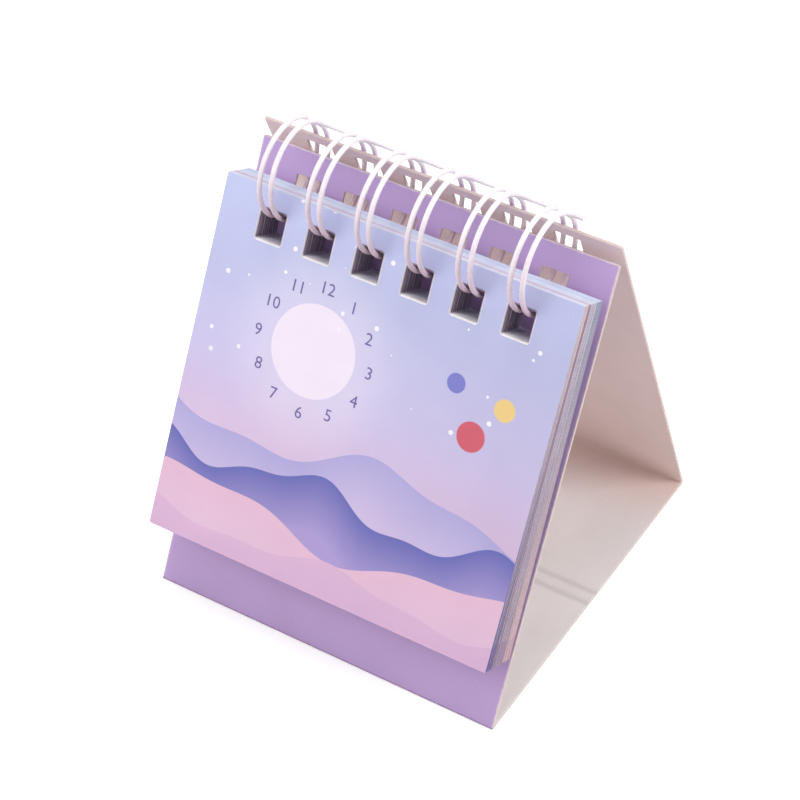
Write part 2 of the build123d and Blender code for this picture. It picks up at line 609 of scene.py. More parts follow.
@dataclass(frozen=True, kw_only=True)
class CoverPrint(Finish):
    """Dusk hills under a pale moon, in pastel blue, lavender and pink."""

    height: float
    moon: Point
    moon_radius: float
    name: str = "cover_print"
    fibre: float = 4600.0
    mottle: float = 110.0
    laid: float = 0.5
    shades: Shades = ((244, 243, 247), (255, 255, 255))
    shade_ends: Point = (0.25, 0.75)
    roughness: Point = (0.44, 0.56)
    specular: float = 0.4
    relief: Point | None = (0.16, 0.03)
    sky: tuple[tuple[float, Rgb], ...] = (
        (0.0, (222, 184, 210)),
        (0.35, (213, 190, 220)),
        (0.55, (202, 196, 230)),
        (0.8, (190, 194, 229)),
        (1.0, (192, 199, 235)),
    )
    # Painted shade: the print darkens slightly towards its right side.
    dusk_sides: Point = (-26.0, 30.0)
    dusk: Rgb = (248, 246, 247)
    star: Rgb = (246, 243, 252)
    star_scale: float = 0.19
    star_radius: float = 0.075
    moonlight: Rgb = (243, 232, 244)
    fade: float = 9.0

    def colour(self, bench: Bench, effects: Effects, tone: Socket) -> Socket:
        """Print the sky, the moon, the hills and three dots.

        Args:
            bench: the material's bench.
            effects: the shared groups.
            tone: the grain.

        Returns:
            The colour's socket.
        """
        page = bench.page()
        side, height, _ = bench.split(page)
        rise = bench.math("DIVIDE", height, self.height)
        colour = bench.ramp(rise, self.sky)
        # Painted shade towards the right side.
        colour = bench.blend(bench.ease(side, *self.dusk_sides), colour, srgb(*self.dusk), "MULTIPLY")
        colour = bench.blend(self._stars(bench, page, rise), colour, srgb(*self.star))
        halo = (self.moon_radius * 1.75, self.moon_radius * 0.7, 0.3)
        for radius, soft, strength in (halo, (self.moon_radius, 0.12, 0.85)):
            disc = bench.group(effects.disc, Page=page, Centre=(*self.moon, 0.0), Radius=radius, Soft=soft)
            share = bench.math("MULTIPLY", disc["Mask"], strength)
            colour = bench.blend(share, colour, srgb(*self.moonlight))
        for level, swell, wave, phase, crest, foot in (
            (21.0, 2.6, 47.0, 0.6, (172, 166, 214), (202, 186, 220)),
            (15.5, 2.2, 33.0, 2.4, (100, 103, 176), (168, 152, 204)),
            (9.0, 2.4, 52.0, 4.4, (224, 184, 206), (220, 188, 212)),
            (4.2, 1.3, 38.0, 1.2, (214, 176, 206), (208, 172, 206)),
        ):
            hill = bench.group(
                effects.ridge, Page=page, Level=level, Swell=swell, Wave=wave, Phase=phase, Fade=self.fade
            )
            slope = bench.blend(hill["Depth"], srgb(*crest), srgb(*foot))
            colour = bench.blend(hill["Mask"], colour, slope)
        for centre, radius, ball in (
            ((18.5, 33.0), 2.3, (206, 92, 108)),
            ((22.6, 38.6), 1.7, (236, 204, 132)),
            ((14.2, 39.8), 1.5, (122, 124, 198)),
        ):
            disc = bench.group(effects.disc, Page=page, Centre=(*centre, 0.0), Radius=radius, Soft=0.1)
            colour = bench.blend(disc["Mask"], colour, srgb(*ball))
        return bench.blend(1.0, colour, self.shade(bench, tone), "MULTIPLY")

    def _stars(self, bench: Bench, page: Socket, rise: Socket) -> Socket:
        """Scatter small dots over the upper part of the print.

        Args:
            bench: the material's bench.
            page: the print's coordinates.
            rise: height on the print, 0 to 1.

        Returns:
            The dots' mask.
        """
        cells = bench.add("TexVoronoi", feature="F1", voronoi_dimensions="2D")
        bench.put(cells.inputs["Vector"], page)
        cells.inputs["Scale"].default_value = self.star_scale
        sizes = bench.add("SeparateColor")
        bench.put(sizes.inputs[0], cells.outputs["Color"])
        radius = bench.ease(sizes.outputs[0], 0.35, 1.0, 0.0, self.star_radius)
        dots = bench.math("LESS_THAN", cells.outputs["Distance"], radius)
        return bench.math("MULTIPLY", dots, bench.ease(rise, 0.4, 0.6))


@dataclass(frozen=True, kw_only=True)
class MonthPrint(Finish):
    """Pale page of a month: the leaf's own tint, with a low hill along the foot."""

    height: float
    name: str = "month_print"
    fibre: float = 4600.0
    mottle: float = 110.0
    shades: Shades = ((243, 242, 245), (255, 255, 255))
    shade_ends: Point = (0.25, 0.75)
    roughness: Point = (0.5, 0.64)
    specular: float = 0.35
    relief: Point | None = (0.16, 0.03)
    foot: Rgb = (250, 247, 250)
    fade: float = 8.0

    def colour(self, bench: Bench, effects: Effects, tone: Socket) -> Socket:
        """Print the wash and its two hills.

        Args:
            bench: the material's bench.
            effects: the shared groups.
            tone: the grain.

        Returns:
            The colour's socket.
        """
        page = bench.page()
        rise = bench.math("DIVIDE", bench.split(page)[1], self.height)
        wash = bench.tint("wash")
        colour = bench.blend(bench.ease(rise, 0.05, 0.95), srgb(*self.foot), wash)
        for level, swell, wave, phase, share in ((6.0, 1.5, 44.0, 0.4, 0.55), (3.2, 1.1, 31.0, 2.2, 0.95)):
            hill = bench.group(
                effects.ridge, Page=page, Level=level, Swell=swell, Wave=wave, Phase=phase, Fade=self.fade
            )
            colour = bench.blend(bench.math("MULTIPLY", hill["Mask"], share), colour, wash)
        return bench.blend(1.0, colour, self.shade(bench, tone), "MULTIPLY")


@dataclass(frozen=True, kw_only=True)
class PlainPaper(Finish):
    """Unprinted back of a sheet."""

    name: str = "plain_paper"
    fibre: float = 5200.0
    mottle: float = 140.0
    shades: Shades = ((234, 230, 234), (246, 244, 246))
    roughness: Point = (0.62, 0.78)
    specular: float = 0.3
    relief: Point | None = (0.2, 0.03)


@dataclass(frozen=True, kw_only=True)
class NumeralInk(Finish):
    """Ink of the printed numbers, a little uneven."""

    name: str = "numeral_ink"
    fibre: float = 6000.0
    mottle: float = 300.0
    shades: Shades = ((92, 82, 142), (114, 102, 164))
    shade_ends: Point = (0.25, 0.75)
    roughness: Point = (0.5, 0.65)


@dataclass(frozen=True, kw_only=True)
class WireCoat(Finish):
    """White plastic coat on steel wire, faintly uneven and scuffed, with a painted pink reflection low on the
    loops.
    """

    name: str = "wire_coat"
    fibre: float = 1500.0
    mottle: float = 260.0
    shades: Shades = ((232, 222, 230), (244, 239, 244))
    shade_ends: Point = (0.3, 0.65)
    roughness: Point = (0.24, 0.36)
    relief: Point | None = (0.08, 0.02)
    scuffed: Rgb = (206, 198, 208)
    scuff_scale: float = 2400.0
    scuff_strength: float = 0.25
    # Painted reflection: pink bounce from the print, low on the loops.
    blush: Rgb = (208, 180, 194)
    blush_heights: Point = (60.0, 74.0)
    blush_strength: float = 0.85

    def colour(self, bench: Bench, effects: Effects, tone: Socket) -> Socket:
        """Scuff the coat and paint a pink reflection low on the loops.

        Args:
            bench: the material's bench.
            effects: the shared groups.
            tone: the grain.

        Returns:
            The colour's socket.
        """
        place = bench.place()
        scuff = bench.ease(bench.noise(place, self.scuff_scale, 4.0, 0.7), 0.68, 0.74)
        share = bench.math("MULTIPLY", scuff, self.scuff_strength)
        colour = bench.blend(share, self.shade(bench, tone), srgb(*self.scuffed))
        # Painted pink reflection, strongest low on the loops.
        low, high = (height * MM for height in self.blush_heights)
        share = bench.ease(bench.split(place)[2], low, high, self.blush_strength, 0.0)
        return bench.blend(share, colour, srgb(*self.blush))


class Finishes:
    """Finishes that several pieces share, and the effects for the others."""

    def __init__(self, effects: Effects) -> None:
        """Build the finishes that need no sizes.

        Args:
            effects: the shared groups.
        """
        self.effects = effects
        self.bare, self.edge, self.paper, self.ink, self.wire = (
            finish.material(effects)
            for finish in (BareCard(), CutEdge(), PlainPaper(), NumeralInk(), WireCoat())
        )


@dataclass(frozen=True)
class LeafFrame:
    """Plane of a leaf: its origin, the way across and the way up; across by up is the front's normal."""

    origin: Vector
    across: Vector
    up: Vector

    def at(self, side: float, rise: float, depth: float = 0.0) -> Vector:
        """Find a point of the leaf.

        Args:
            side: distance across.
            rise: distance up.
            depth: distance behind the front face.

        Returns:
            The point, in millimetres.
        """
        normal = self.across.cross(self.up)
        return self.origin + self.across * side + self.up * rise - normal * depth


class MeshStock:
    """Collects the points and faces of one piece."""

    def __init__(self) -> None:
        """Start empty."""
        self.points: list[Vector] = []
        self.page: list[Point] = []
        self.faces: list[tuple[int, ...]] = []
        self.slots: list[int] = []

    def add(self, points: Sequence[Vector], page: Loop) -> list[int]:
        """Take in points.

        Args:
            points: places in millimetres.
            page: print coordinates of the points.

        Returns:
            The points' numbers.
        """
        first = len(self.points)
        self.points.extend(points)
        self.page.extend(page)
        return list(range(first, len(self.points)))

    def face(self, corners: Sequence[int], part: Part) -> None:
        """Take in one face of a given part."""
        self.faces.append(tuple(corners))
        self.slots.append(part.value)

    def wall(self, first: Sequence[int], second: Sequence[int], part: Part, closed: bool = True) -> None:
        """Join two rows of points by a band of faces.

        Args:
            first: numbers of the first row's points.
            second: numbers of the second row's points.
            part: what the band is.
            closed: whether the rows are rings.
        """
        count = len(first)
        for index in range(count if closed else count - 1):
            after = (index + 1) % count
            self.face((first[index], second[index], second[after], first[after]), part)

    def build(
        self, name: str, materials: Sequence[Material], colours: dict[str, ToneAt], smooth_deg: float = 32.0
    ) -> Piece:
        """Make the object.

        Args:
            name: the piece's name.
            materials: its materials, in the order of Part.
            colours: colour attributes, each found from a point's print coordinates.
            smooth_deg: edges sharper than this stay sharp.

        Returns:
            The new object, linked to the scene.
        """
        mesh = bpy.data.meshes.new(name)
        mesh.from_pydata([point * MM for point in self.points], [], self.faces)
        for material in materials:
            mesh.materials.append(material)
        mesh.polygons.foreach_set("material_index", self.slots)
        page = mesh.attributes.new("page", "FLOAT_VECTOR", "POINT")
        page.data.foreach_set("vector", [value for x, y in self.page for value in (x, y, 0.0)])
        for label, colour in colours.items():
            tint = mesh.attributes.new(label, "FLOAT_COLOR", "POINT")
            tint.data.foreach_set("color", [value for point in self.page for value in colour(point)])
        mesh.polygons.foreach_set("use_smooth", [True] * len(self.faces))
        mesh.set_sharp_from_angle(angle=math.radians(smooth_deg))
        mesh.validate()
        return show(name, mesh)


@dataclass(frozen=True)
class Opening:
    """Rectangle with rounded corners, given by its sides."""

    left: float
    low: float
    right: float
    high: float
    corner: float
    sharp_foot: bool = False
    steps: int = 4
    least_radius: float = 0.02
    nudge: float = 1e-4  # keeps the points of a sharp corner apart

    def loop(self, grow: float = 0.0, foot_grow: bool = True) -> list[Point]:
        """Walk round the rectangle, against the clock.

        Args:
            grow: how far the sides move outwards.
            foot_grow: whether the lower side moves too.

        Returns:
            The points of the walk.
        """
        left, right, high = self.left - grow, self.right + grow, self.high + grow
        low = self.low - (grow if foot_grow else 0.0)
        radius = max(self.corner + grow, self.least_radius)
        foot = 0.0 if self.sharp_foot else radius
        points: list[Point] = []
        for x, y, turn, bend in (
            (right - foot, low + foot, -90.0, foot),
            (right - radius, high - radius, 0.0, radius),
            (left + radius, high - radius, 90.0, radius),
            (left + foot, low + foot, 180.0, foot),
        ):
            for step in range(self.steps + 1):
                angle = math.radians(turn + 90.0 * step / self.steps)
                nudge = self.nudge * step if bend == 0.0 else 0.0
                points.append((x + bend * math.cos(angle), y + bend * math.sin(angle) + nudge))
        return points


def inside(point: Point, loop: Loop) -> bool:
    """Tell whether a point lies inside a loop.

    Args:
        point: the point.
        loop: the closed loop.

    Returns:
        True if it does.
    """
    x, y = point
    crossings = 0
    for (x0, y0), (x1, y1) in zip(loop, [*loop[1:], loop[0]]):
        if (y0 > y) != (y1 > y) and x < x0 + (y - y0) * (x1 - x0) / (y1 - y0):
            crossings += 1
    return crossings % 2 == 1


@dataclass
class Leaf:
    """Flat leaf of card or paper with punched holes, softened edges and a lip round each hole."""

    frame: LeafFrame
    outline: Opening
    holes: list[Opening]
    thickness: float
    soften: float
    lip: float
    page_origin: Point = (0.0, 0.0)
    lip_share: float = 0.35

    def stock(self) -> MeshStock:
        """Build the leaf's faces.

        Returns:
            The collected mesh.
        """
        stock = MeshStock()
        foot_grow = not self.outline.sharp_foot
        rims = [self.outline.loop(-self.soften, foot_grow)]
        rims.extend(hole.loop(self.lip)[::-1] for hole in self.holes)
        walls = [self.outline.loop(), *(hole.loop()[::-1] for hole in self.holes)]
        lip_depth = min(self.lip, self.lip_share * self.thickness)
        bevels = [self.soften] + [lip_depth] * len(self.holes)
        fronts: list[int] = []
        backs: list[int] = []
        for rim, wall, bevel in zip(rims, walls, bevels):
            depths = (0.0, bevel, self.thickness - bevel, self.thickness)
            rings = [self._ring(stock, *ring) for ring in zip((rim, wall, wall, rim), depths)]
            for first, second in zip(rings, rings[1:]):
                stock.wall(first, second, Part.EDGE)
            fronts.extend(rings[0])
            backs.extend(rings[-1])
        for corners in self._fill(rims):
            stock.face([fronts[corner] for corner in corners], Part.FRONT)
            stock.face([backs[corner] for corner in reversed(corners)], Part.BACK)
        return stock

    def _ring(self, stock: MeshStock, loop: Loop, depth: float) -> list[int]:
        """Put one ring of points into the stock.

        Args:
            stock: the leaf's mesh.
            loop: the ring, in the leaf's own millimetres.
            depth: its distance behind the front face.

        Returns:
            The points' numbers.
        """
        points = [self.frame.at(x, y, depth) for x, y in loop]
        page = [(x - self.page_origin[0], y - self.page_origin[1]) for x, y in loop]
        return stock.add(points, page)

    @staticmethod
    def _fill(rims: Sequence[Loop]) -> list[list[int]]:
        """Fill the outline around its holes with triangles.

        Args:
            rims: the outline, then the holes.

        Returns:
            Corners of the triangles, as places in the joined list of rim points.
        """
        points = [Vector(point) for rim in rims for point in rim]
        edges: list[tuple[int, int]] = []
        for rim in rims:
            first, count = len(edges), len(rim)
            edges.extend((first + index, first + (index + 1) % count) for index in range(count))
        made, _, faces, sources, _, _ = delaunay_2d_cdt(points, edges, [], 0, WELD)
        triangles: list[list[int]] = []
        for face in faces:
            a, b, c = (made[corner] for corner in face)
            middle = (a + b + c) / 3
            spot = (middle.x, middle.y)
            if not inside(spot, rims[0]) or any(inside(spot, rim) for rim in rims[1:]):
                continue
            corners = [sources[corner][0] for corner in face]
            triangles.append(corners if (b - a).cross(c - a) > 0 else corners[::-1])
        return triangles


@dataclass
class Numerals:
    """Printer of numbers, in a thin film of ink."""

    film: float = 0.012
    curve_steps: int = 3

    def __post_init__(self) -> None:
        """Start with no number drawn."""
        self.drawn: dict[str, tuple[list[Point], list[list[int]]]] = {}

    def outline(self, text: str) -> tuple[list[Point], list[list[int]]]:
        """Draw a number one unit high, centred on its middle.

        Args:
            text: the number.

        Returns:
            Its points and its faces.
        """
        if text not in self.drawn:
            curve = bpy.data.curves.new("numeral", "FONT")
            curve.body = text
            curve.align_x = curve.align_y = "CENTER"
            curve.resolution_u = self.curve_steps
            drawing = bpy.data.objects.new("numeral", curve)
            mesh = bpy.data.meshes.new_from_object(drawing)
            points = [(vertex.co.x, vertex.co.y) for vertex in mesh.vertices]
            self.drawn[text] = (points, [list(face.vertices) for face in mesh.polygons])
            bpy.data.objects.remove(drawing)
            bpy.data.curves.remove(curve)
            bpy.data.meshes.remove(mesh)
        return self.drawn[text]

    def print_on(self, stock: MeshStock, frame: LeafFrame, text: str, centre: Point, height: float) -> None:
        """Print a number on a leaf's front.

        Args:
            stock: the leaf's mesh.
            frame: the leaf's plane.
            text: the number.
            centre: its middle, in the leaf's own millimetres.
            height: its size.
        """
        points, faces = self.outline(text)
        placed = [(centre[0] + x * height, centre[1] + y * height) for x, y in points]
        numbers = stock.add([frame.at(x, y, -self.film) for x, y in placed], placed)
        for face in faces:
            stock.face([numbers[corner] for corner in face], Part.INK)


@dataclass
class Binding:
    """Twin-loop wire: places of the loops, and the ring that all pieces hang on."""

    axis_y: float = -0.6575
    axis_z: float = 65.9344
    radius: float = 7.6314
    wire: float = 0.8
    strand_spacing: float = 2.0
    pitch: float = 8.467
    count: int = 6
    seam_deg: float = 40.0
    seam_gap: float = 0.6
    stub: float = 1.2
    arc_steps: int = 72
    bend_steps: int = 8
    sides: int = 14
    smooth_deg: float = 50.0

    @property
    def places(self) -> list[float]:
        """Middle of each loop along the binding."""
        return [(index - (self.count - 1) / 2) * self.pitch for index in range(self.count)]

    def ring_point(self, x: float, angle: float, forward: float = 0.0) -> Vector:
        """Find a point on the ring.

        Args:
            x: place along the binding.
            angle: place round the ring.
            forward: distance along the tangent.

        Returns:
            The point, in millimetres.
        """
        y = self.axis_y + self.radius * math.cos(angle) - forward * math.sin(angle)
        z = self.axis_z + self.radius * math.sin(angle) + forward * math.cos(angle)
        return Vector((x, y, z))

    def path(self) -> list[Vector]:
        """Follow the wire from its first stub to its last.

        Returns:
            Points along the wire.
        """
        bend = self.strand_spacing / 2
        start = math.radians(self.seam_deg) + bend / self.radius
        reach = math.sqrt((2 * bend + self.wire + self.seam_gap) ** 2 - (2 * bend) ** 2)
        end = start + math.tau - reach / self.radius
        turn = [start + (end - start) * step / self.arc_steps for step in range(self.arc_steps + 1)]
        angles = [math.pi / 2 * step / self.bend_steps for step in range(2 * self.bend_steps)]
        bends = [(bend * math.cos(angle), bend * math.sin(angle)) for angle in angles]
        quarter = bends[: self.bend_steps]
        outer = 2 * bend
        points = [self.ring_point(self.places[0] - outer - self.stub, start, -bend)]
        for place in self.places:
            points.extend(self.ring_point(place - outer + away, start, -rest) for rest, away in quarter)
            points.extend(self.ring_point(place - bend, angle) for angle in turn)
            points.extend(self.ring_point(place - rest, end, away) for rest, away in bends[1:])
            points.extend(self.ring_point(place + bend, angle) for angle in reversed(turn))
            points.extend(self.ring_point(place + outer - rest, start, -away) for rest, away in quarter[1:])
            points.append(self.ring_point(place + outer, start, -bend))
        points.append(self.ring_point(self.places[-1] + outer + self.stub, start, -bend))
        return points

    def build(self, finishes: Finishes) -> None:
        """Build and dress the wire.

        Args:
            finishes: the calendar's finishes.
        """
        points = self.path()
        stock = MeshStock()
        radius = self.wire / 2
        turns = [math.tau * side / self.sides for side in range(self.sides)]
        rings: list[list[int]] = []
        normal = Vector((0.0, 0.0, 1.0))
        length = 0.0
        for index, point in enumerate(points):
            before, after = points[max(index - 1, 0)], points[min(index + 1, len(points) - 1)]
            tangent = (after - before).normalized()
            normal = (normal - tangent * normal.dot(tangent)).normalized()
            cross = tangent.cross(normal)
            length += (point - before).length
            ring = [point + normal * (radius * math.cos(a)) + cross * (radius * math.sin(a)) for a in turns]
            rings.append(stock.add(ring, [(radius * a, length) for a in turns]))
        for first, second in zip(rings, rings[1:]):
            stock.wall(second, first, Part.FRONT)
        stock.face(rings[0][::-1], Part.FRONT)
        stock.face(rings[-1], Part.FRONT)
        piece = stock.build("twin_loop_wire", [finishes.wire], {}, self.smooth_deg)
        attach(piece, "binding")
        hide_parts("binding_wire")
        LOG.info("%s: %d loops, %.0f mm long", piece.name, self.count, length)


@dataclass
class Punch:
    """Row of holes that the loops pass through."""

    places: list[float]
    width: float = 4.4
    height: float = 4.75
    margin: float = 3.3
    corner: float = 0.35

    def row(self, edge: float) -> list[Opening]:
        """Place the holes.

        Args:
            edge: height of the leaf's upper edge.

        Returns:
            The holes below it.
        """
        half = self.width / 2
        top = edge - self.margin
        return [Opening(x - half, top - self.height, x + half, top, self.corner) for x in self.places]


@dataclass
class Easel:
    """Folded card stand: front panel, base and rear panel of one scored blank."""

    front_punch: Punch
    rear_punch: Punch
    width: float = 61.0
    depth: float = 61.6
    front_length: float = 74.2
    rear_length: float = 72.46
    thickness: float = 0.5
    front_lean_deg: float = 28.8
    rear_lean_deg: float = 20.189
    soften: float = 0.06
    corner: float = 0.3
    fold_radii: Point = (0.2, 0.5)
    inner_fold: float = 0.3
    fold_flap: float = 2.6
    fold_ramp: float = 1.5
    fold_layers: Point = (0.32, 0.68)
    folded_gap: float = 3.434
    blend_inset: float = 0.8
    score_places: Point = (-1.3, 1.3)
    score_width: float = 1.9
    score_depth: float = 0.16
    score_shade: float = 0.15
    base_step: float = 1.1
    plain: Tone = (1.0, 1.0, 1.0, 1.0)
    # Painted shade: the bare card darker and pinker at the rear fold and up the rear panel's inside.
    rosy: Tone = (0.965, 0.8, 0.76, 1.0)
    mauve: Tone = (0.87, 0.72, 0.77, 1.0)
    rosy_reach: float = 15.0
    cut: Rgb = (230, 214, 208)

    def front_frame(self) -> LeafFrame:
        """Set the plane of the front panel's printed face, from its fold.

        Returns:
            The plane.
        """
        lean = math.radians(self.front_lean_deg)
        up = Vector((0.0, math.sin(lean), math.cos(lean)))
        return LeafFrame(Vector((0.0, -self.depth / 2, 0.0)), Vector((1.0, 0.0, 0.0)), up)

    def rear_frame(self) -> LeafFrame:
        """Set the plane of the rear panel's outer face, from its fold.

        Returns:
            The plane.
        """
        lean = math.radians(self.rear_lean_deg)
        up = Vector((0.0, -math.sin(lean), math.cos(lean)))
        return LeafFrame(Vector((0.0, self.depth / 2, 0.0)), Vector((-1.0, 0.0, 0.0)), up)

    def card_tint(self, start: float, point: Point) -> Tone:
        """Painted shade on the bare card: none on the base, pink shade rising towards the rear fold and mauve
        shade up the rear panel.

        Args:
            start: where the point's rise is counted from; the rear fold is 0, and the base is below it.
            point: a point of the card.

        Returns:
            What the card's colour is multiplied by.
        """
        rise = start + point[1]
        if rise >= 0.0:
            return between(self.rosy, self.mauve, rise / self.rear_length)
        share = max(1.0 + rise / self.rosy_reach, 0.0)
        return between(self.plain, self.rosy, share * share * (3.0 - 2.0 * share))

    def edge_tint(self, point: Point) -> Tone:
        """Give the colour of the card's cut edges, the same at every point."""
        return srgb(*self.cut)

    def build(self, finishes: Finishes) -> None:
        """Build and dress the three panels.

        Args:
            finishes: the calendar's finishes.
        """
        half = self.width / 2
        front = (self.front_frame(), self.front_length, self.front_punch, -FAR)
        rear = (self.rear_frame(), self.rear_length, self.rear_punch, 0.0)
        for name, node, body, (frame, length, punch, start) in (
            ("easel_front_panel", "front_panel", "easel_front", front),
            ("easel_rear_panel", "rear_panel", "easel_rear", rear),
        ):
            outline = Opening(-half, self.fold_flap, half, length, self.corner, sharp_foot=True)
            stock = Leaf(frame, outline, punch.row(length), self.thickness, self.soften, self.soften).stock()
            printed = CardPrint(name=f"{node}_print", half_width=half, top=length).material(finishes.effects)
            slots = [printed, finishes.bare, finishes.edge]
            # The card colour carries painted shade for the rear panel's inside.
            tints = {"tint": self.edge_tint, "card": partial(self.card_tint, start)}
            piece = stock.build(name, slots, tints)
            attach(piece, body)
            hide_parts(node)
            LOG.info("%s: %.1f by %.1f mm", name, self.width, length)
        self._build_base(finishes)

    def _fold(self, frame: LeafFrame, lean_deg: float, radius: float, depth: float) -> list[Point]:
        """Trace one side of the card round a fold.

        Args:
            frame: plane of the panel above the fold.
            lean_deg: the panel's lean.
            radius: the bend on that side.
            depth: distance of that side from the printed one.

        Returns:
            Points (y, z), from the panel to the base.
        """
        sign = math.copysign(1.0, frame.origin.y)
        lean = math.radians(lean_deg)
        reach = (radius + depth) / math.tan((math.pi / 2 - lean) / 2)
        centre = Vector((0.0, sign * (self.depth / 2 - reach), depth + radius))
        first = frame.at(0.0, reach, depth) - centre
        swing = -sign * (math.pi / 2 + lean)
        turns = [Matrix.Rotation(swing * step / FOLD_STEPS, 3, "X") for step in range(FOLD_STEPS + 1)]
        points = [frame.at(0.0, self.fold_flap, depth), *(centre + turn @ first for turn in turns)]
        return [(point.y, point.z) for point in points]

    def _base_section(self) -> tuple[list[Point], list[Point]]:
        """Trace the base and its two folds from the front panel to the rear panel.

        Returns:
            Points (y, z) of the printed side, and of the bare side opposite them.
        """
        steps = self._base_steps()
        middles = ([(y, 0.0) for y in steps], [(y, self.thickness - self._score(y)) for y in steps])
        front, rear = self.front_frame(), self.rear_frame()
        sides: list[list[Point]] = []
        for depth, share, middle in zip((0.0, self.thickness), (1.0, self.inner_fold), middles):
            near, far = (radius * share for radius in self.fold_radii)
            start = self._fold(front, self.front_lean_deg, near, depth)
            end = self._fold(rear, self.rear_lean_deg, far, depth)
            sides.append([*start, *middle, *reversed(end)])
        printed, bare = sides
        return printed, bare

    def _base_steps(self) -> list[float]:
        """Divide the base.

        Returns:
            Places across it where its section has points.
        """
        reach = self.depth / 2 - self.fold_flap
        count = round(2 * reach / self.base_step)
        even = [-reach + 2 * reach * step / count for step in range(count + 1)]
        near = max(self.score_places) + self.score_width
        steps = [y for y in even if abs(y) > near]
        for middle in self.score_places:
            marks = range(-SCORE_STEPS, SCORE_STEPS + 1)
            steps.extend(middle + self.score_width * mark / (2 * SCORE_STEPS) for mark in marks)
        return sorted([*steps, 0.0])

    def _score(self, y: float) -> float:
        """Depth of the two scores at a place across the base."""
        away = min(abs(y - middle) for middle in self.score_places) / (self.score_width / 2)
        return self.score_depth * (0.5 + 0.5 * math.cos(math.pi * away)) if away < 1.0 else 0.0

    def _base_stock(self, printed: Loop, bare: Loop, lengths: Sequence[float]) -> MeshStock:
        """Run the base's section across the card, with softened sides.

        Args:
            printed: points (y, z) of the printed side.
            bare: points of the bare side opposite them.
            lengths: distances along the printed side.

        Returns:
            The collected mesh.
        """
        stock = MeshStock()
        half = self.width / 2
        share = self.soften / self.thickness
        outer: list[list[int]] = []
        inner: list[list[int]] = []
        for x, pull in ((-half, share), (-half + self.soften, 0.0), (half - self.soften, 0.0), (half, share)):
            for rows, own, other in ((outer, printed, bare), (inner, bare, printed)):
                points = [Vector((x, *between(near, far, pull))) for near, far in zip(own, other)]
                rows.append(stock.add(points, [(x, run) for run in lengths]))
        for low, high in zip(outer, outer[1:]):
            stock.wall(high, low, Part.FRONT, closed=False)
        for low, high in zip(inner, inner[1:]):
            stock.wall(low, high, Part.BACK, closed=False)
        stock.wall(outer[0], inner[0], Part.EDGE, closed=False)
        stock.wall(inner[-1], outer[-1], Part.EDGE, closed=False)
        return stock

    def _build_base(self, finishes: Finishes) -> None:
        """Build and dress the base with its two folds.

        Args:
            finishes: the calendar's finishes.
        """
        printed, bare = self._base_section()
        lengths = [0.0]
        for first, second in zip(printed, printed[1:]):
            lengths.append(lengths[-1] + math.dist(first, second))
        stock = self._base_stock(printed, bare, lengths)
        flap = self.fold_flap
        bend = 1 + FOLD_STEPS // 2
        folds = (lengths[bend], lengths[-1 - bend])
        finish = CardPrint(name="base_panel_print", half_width=self.width / 2, top=FAR, folds=folds)
        slots = [finish.material(finishes.effects), finishes.bare, finishes.edge]
        middle = lengths[printed.index((0.0, 0.0))]

        def card(point: Point) -> Tone:
            """Tone of the base, with painted shade darkening its scores."""
            # Painted shade darkens the two scores.
            wear_and_painted_shade = 1.0 - self.score_shade * self._score(point[1] - middle) / self.score_depth
            return (*(tone * wear_and_painted_shade for tone in self.card_tint(flap - lengths[-1], point)[:3]), 1.0)

        piece = stock.build("easel_base_panel", slots, {"tint": self.edge_tint, "card": card})
        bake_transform(piece)
        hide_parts("base_panel")
        LOG.info("%s: %.1f mm along its section", piece.name, lengths[-1])


